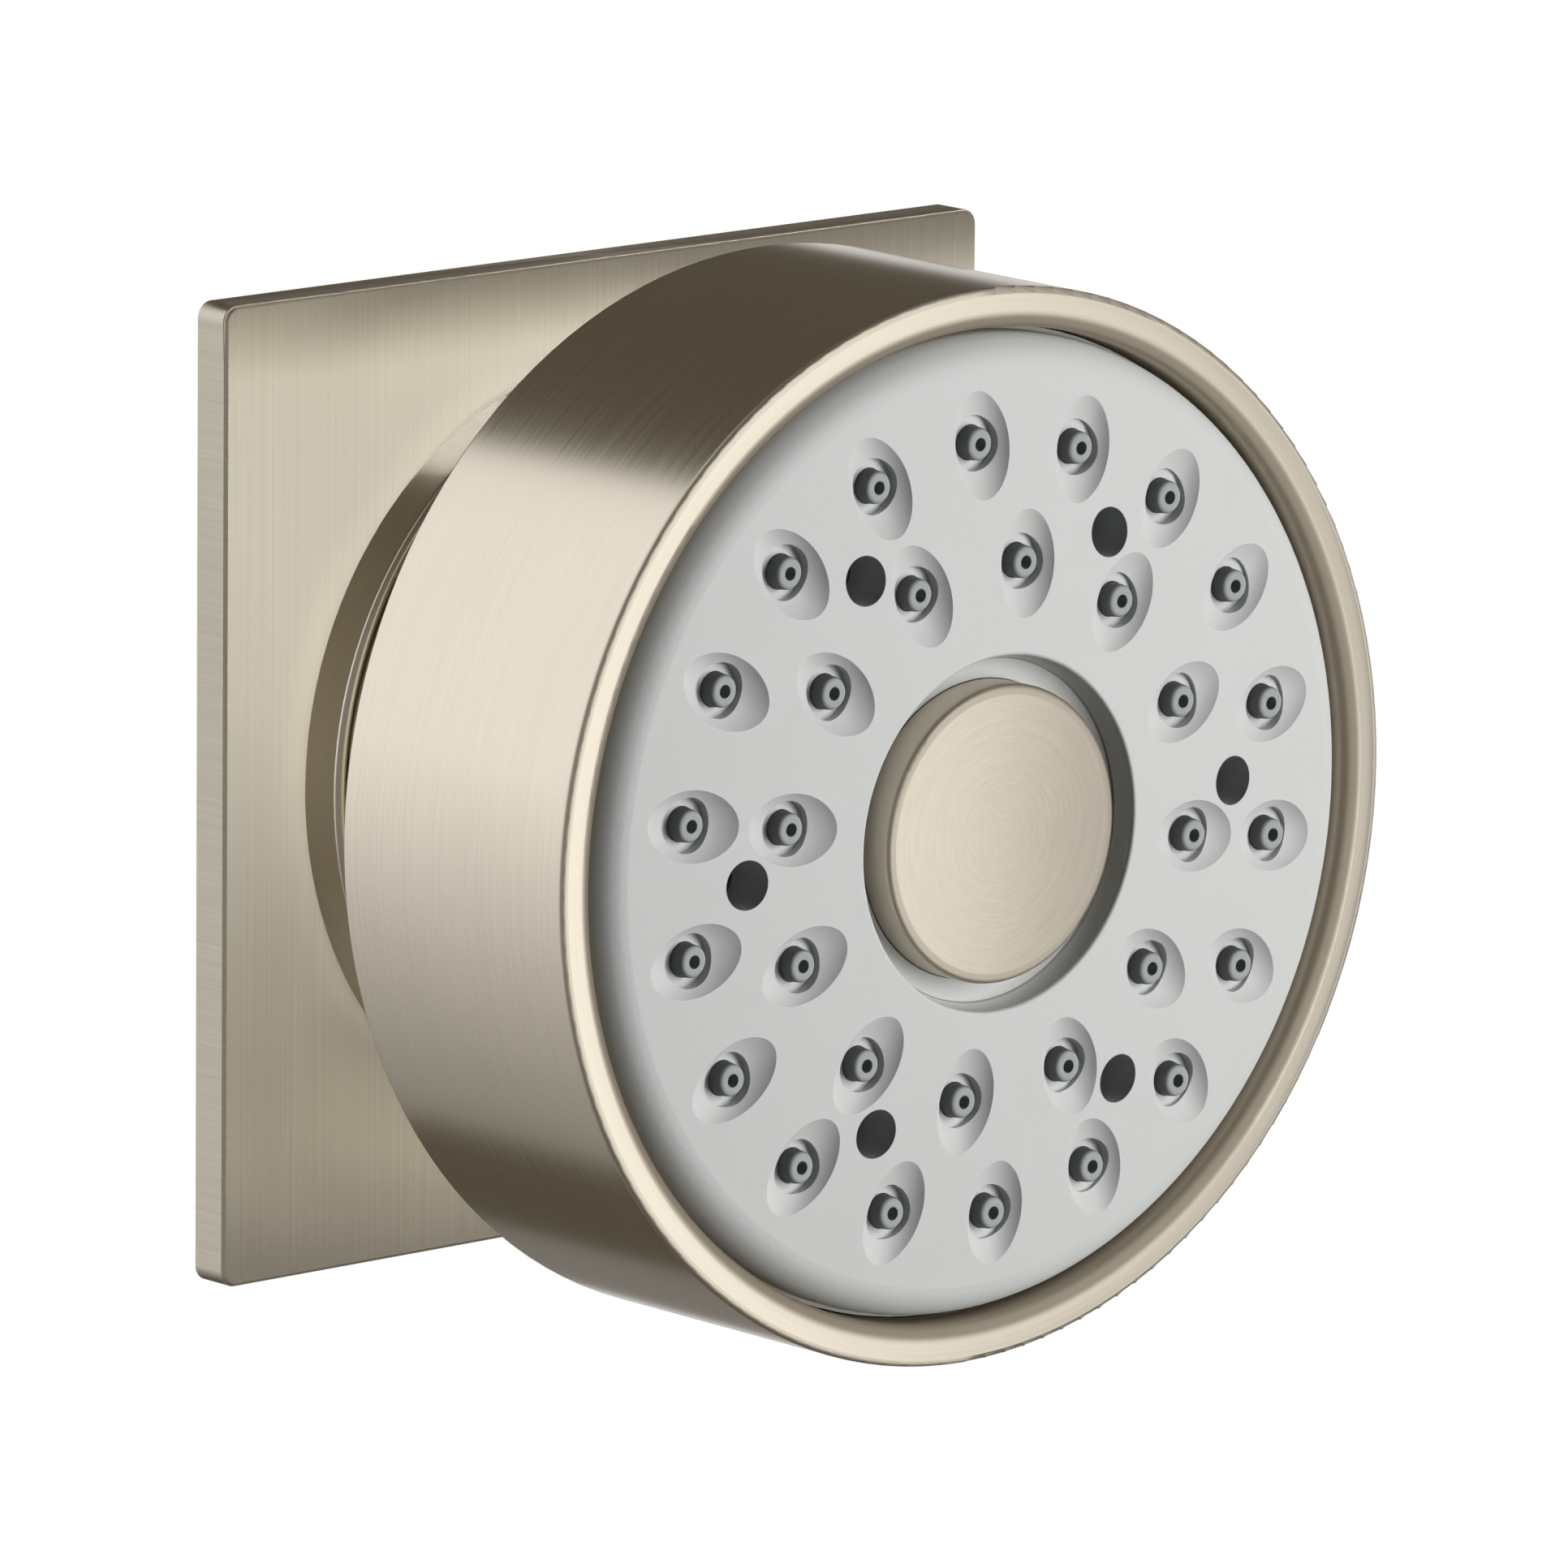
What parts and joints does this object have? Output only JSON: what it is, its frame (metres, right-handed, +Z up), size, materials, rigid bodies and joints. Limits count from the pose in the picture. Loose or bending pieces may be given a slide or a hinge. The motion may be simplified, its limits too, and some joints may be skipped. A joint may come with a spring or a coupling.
{
  "type": "shower body jet",
  "caption": "Round shower body jet with soft nozzles in a domed spray face, on a ball joint that pans, tilts and turns, with a cover ring and a square wall plate over its pipe thread.",
  "frame": {"origin": "centre of the wall plate's back face, where the inlet thread's axis meets the finished wall", "axes": "+Z up, +X to the right of someone facing the jet, +Y into the wall; the water leaves towards -Y"},
  "size_m": [0.0652, 0.054, 0.0652],
  "materials": {
    "brushed_nickel": "warm nickel plate over brass, brushed to a satin",
    "plated_brass": "nickel plate over turned brass",
    "stainless": "plain stainless steel",
    "pale_grey_plastic": "satin moulded plastic",
    "dark_plastic": "moulded plastic",
    "white_acetal": "natural moulded plastic",
    "white_liner": "smooth low-friction plastic",
    "grey_silicone": "soft matt silicone",
    "gasket_foam": "closed-cell foam",
    "black_rubber": "moulded rubber"
  },
  "bodies": {
    "fixed_base": {"wall_plate": "brushed_nickel", "plate_gasket": "gasket_foam", "inlet_nipple": "plated_brass", "filter_screen": "stainless", "filter_washer": "black_rubber", "cover_ring": "brushed_nickel", "cover_o_ring": "black_rubber"},
    "pan_liner": {"ball_liner": "white_liner"},
    "tilt_seats": {"rear_seat": "white_acetal", "front_seat": "white_acetal"},
    "spray_head": {"spring_washer": "stainless", "swivel_nut": "plated_brass", "ball_seal": "black_rubber", "head_housing": "brushed_nickel", "spigot_o_ring": "black_rubber", "flow_limiter": "dark_plastic", "limiter_ring": "black_rubber", "distributor": "dark_plastic", "distributor_screws": "stainless", "screw_o_rings": "black_rubber", "nozzle_mat": "grey_silicone", "spray_face": "pale_grey_plastic", "centre_screw": "stainless", "centre_cap": "brushed_nickel", "cap_o_ring": "black_rubber"}
  },
  "joints": [
    {"name": "head_pan", "type": "hinge", "parent": "fixed_base", "child": "pan_liner", "pos_m": [0, -0.0185, 0], "axis": [0, 0, 1], "range_deg": [-12, 12]},
    {"name": "head_tilt", "type": "hinge", "parent": "pan_liner", "child": "tilt_seats", "pos_m": [0, -0.0185, 0], "axis": [1, 0, 0], "range_deg": [-12, 12]},
    {"name": "head_spin", "type": "hinge", "parent": "tilt_seats", "child": "spray_head", "pos_m": [0, -0.0185, 0], "axis": [0, -1, 0], "continuous": true}
  ]
}
